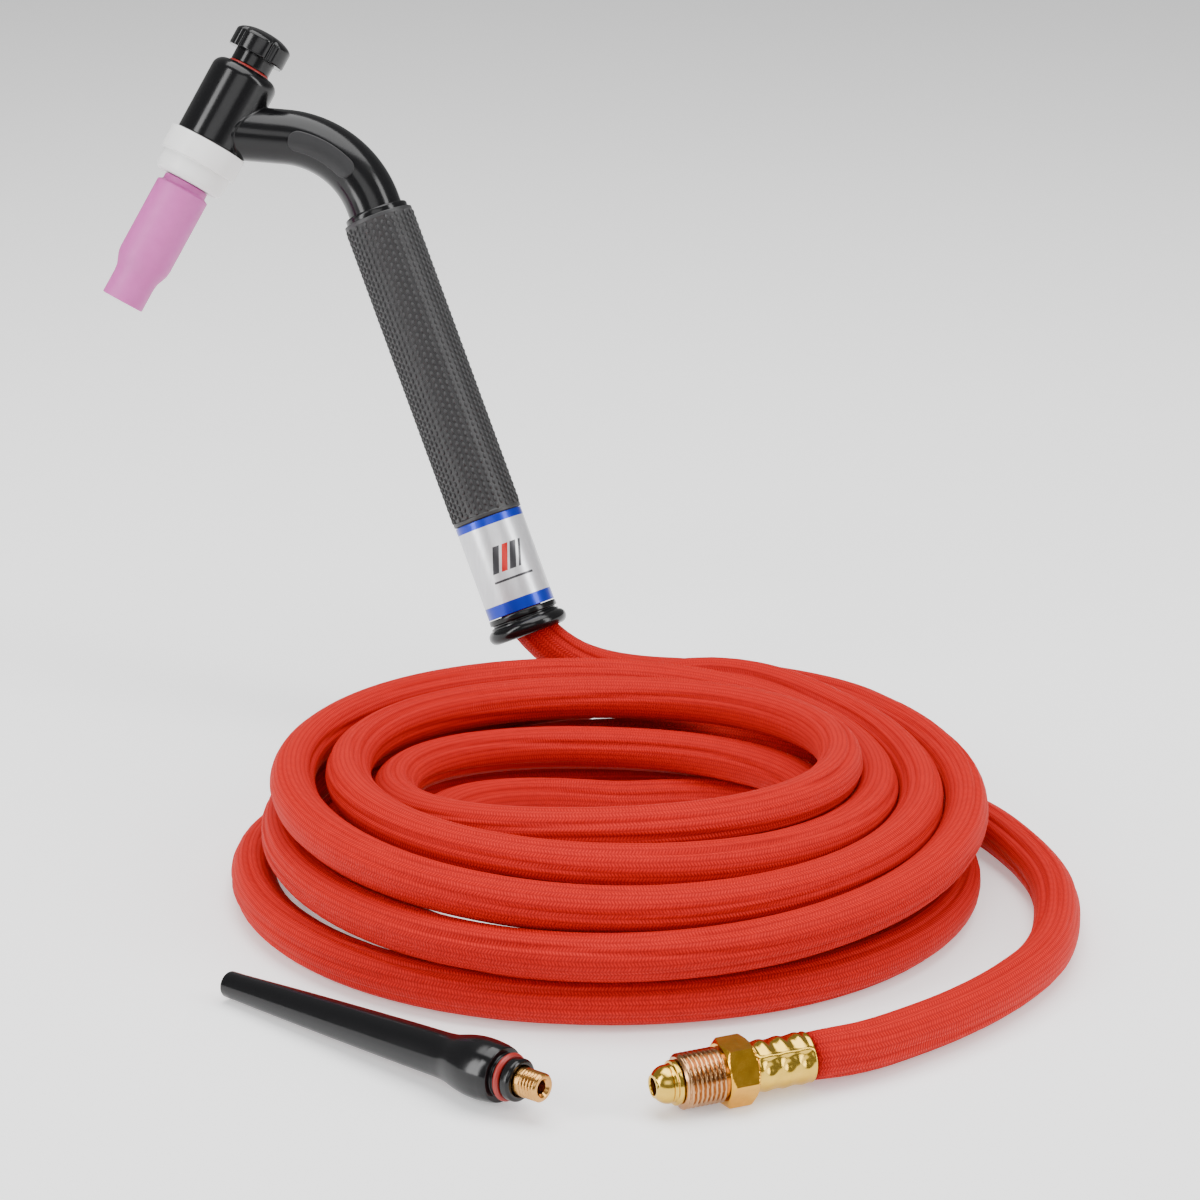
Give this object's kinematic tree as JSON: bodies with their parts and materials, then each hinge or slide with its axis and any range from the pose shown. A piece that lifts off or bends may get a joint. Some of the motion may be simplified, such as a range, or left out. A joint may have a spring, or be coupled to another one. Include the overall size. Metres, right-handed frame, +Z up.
{
  "type": "tig torch",
  "caption": "Gas-cooled TIG welding torch with a flexible neck, pink ceramic cup and ribbed handle, on a coiled red braided power cable with a brass end fitting, and a spare long back cap.",
  "frame": {"origin": "on the floor, under the middle of the box round the torch and the spare cap", "axes": "+Z up from the floor the coil lies on; +Y from the spare cap towards the torch's head, behind the coil; +X to the right as seen from the spare cap"},
  "size_m": [0.3243, 0.363, 0.2455],
  "materials": {
    "moulded_black": "glossy",
    "grip_black": "matt, dimpled",
    "label_silver": "satin",
    "liner_black": "matt",
    "shield_white": "satin",
    "alumina_pink": "matt ceramic",
    "brass": "polished",
    "thread_brass": "machined",
    "copper": "machined",
    "tungsten": "ground",
    "seal_red": "satin",
    "braid_red": "satin braid"
  },
  "bodies": {
    "handle": {"handle_top_collar": "moulded_black", "handle_grip": "grip_black", "handle_label": "label_silver", "handle_liner": "liner_black", "handle_end_collar": "moulded_black", "handle_end_ring": "moulded_black", "neck_stud": "brass", "adapter_nut": "brass", "cable_adapter": "brass", "adapter_ferrule": "brass", "neck_sleeve": "moulded_black", "neck_conductor": "copper", "cable_lead": "braid_red", "cable_coil": "braid_red", "cable_tail": "braid_red", "fitting_ferrule": "brass", "fitting_nipple": "brass"},
    "head": {"head_shell": "moulded_black", "heat_shield": "shield_white", "head_core": "brass", "collet_body": "copper", "collet": "copper"},
    "cup": {"alumina_cup": "alumina_pink"},
    "electrode": {"tungsten_electrode": "tungsten"},
    "cap_seal": {"button_cap_oring": "seal_red"},
    "button_cap": {"button_back_cap": "moulded_black", "button_cap_insert": "brass"},
    "fitting_nut": {"fitting_nut": "thread_brass"},
    "spare_cap": {"long_back_cap": "moulded_black", "long_cap_oring": "seal_red", "long_cap_thread": "thread_brass"}
  },
  "joints": [
    {"name": "neck_flex", "type": "hinge", "parent": "handle", "child": "head", "pos_m": [0.00146, 0.15845, 0.20104], "axis": [0, 0.9455, -0.3256], "range_deg": [-30, 30], "deforming": ["neck_sleeve", "neck_conductor"]},
    {"name": "cup_draw", "type": "slide", "parent": "head", "child": "cup", "axis": [-0.4787, -0.2858, -0.8301], "range_m": [0, 0.014]},
    {"name": "electrode_slide", "type": "slide", "parent": "head", "child": "electrode", "axis": [-0.4787, -0.2858, -0.8301], "range_m": [0, 0.024]},
    {"name": "cap_rise", "type": "slide", "parent": "head", "child": "cap_seal", "axis": [0.4787, 0.2858, 0.8301], "range_m": [0, 0.0047]},
    {"name": "cap_turn", "type": "hinge", "parent": "cap_seal", "child": "button_cap", "pos_m": [-0.05207, 0.15553, 0.19257], "axis": [0.4787, 0.2858, 0.8301], "range_deg": [0, 1350]},
    {"name": "nut_spin", "type": "hinge", "parent": "handle", "child": "fitting_nut", "pos_m": [0.15178, -0.1564, 0.00885], "axis": [-0.9221, -0.387, 0], "continuous": true},
    {"name": "spare_cap_lift", "type": "slide", "parent": "handle", "child": "spare_cap", "axis": [0, 0, 1], "range_m": [0, 0.08]}
  ],
  "couplings": [
    {"joint": "cap_rise", "follows": "cap_turn", "m_per_rad": 0.00019894}
  ]
}
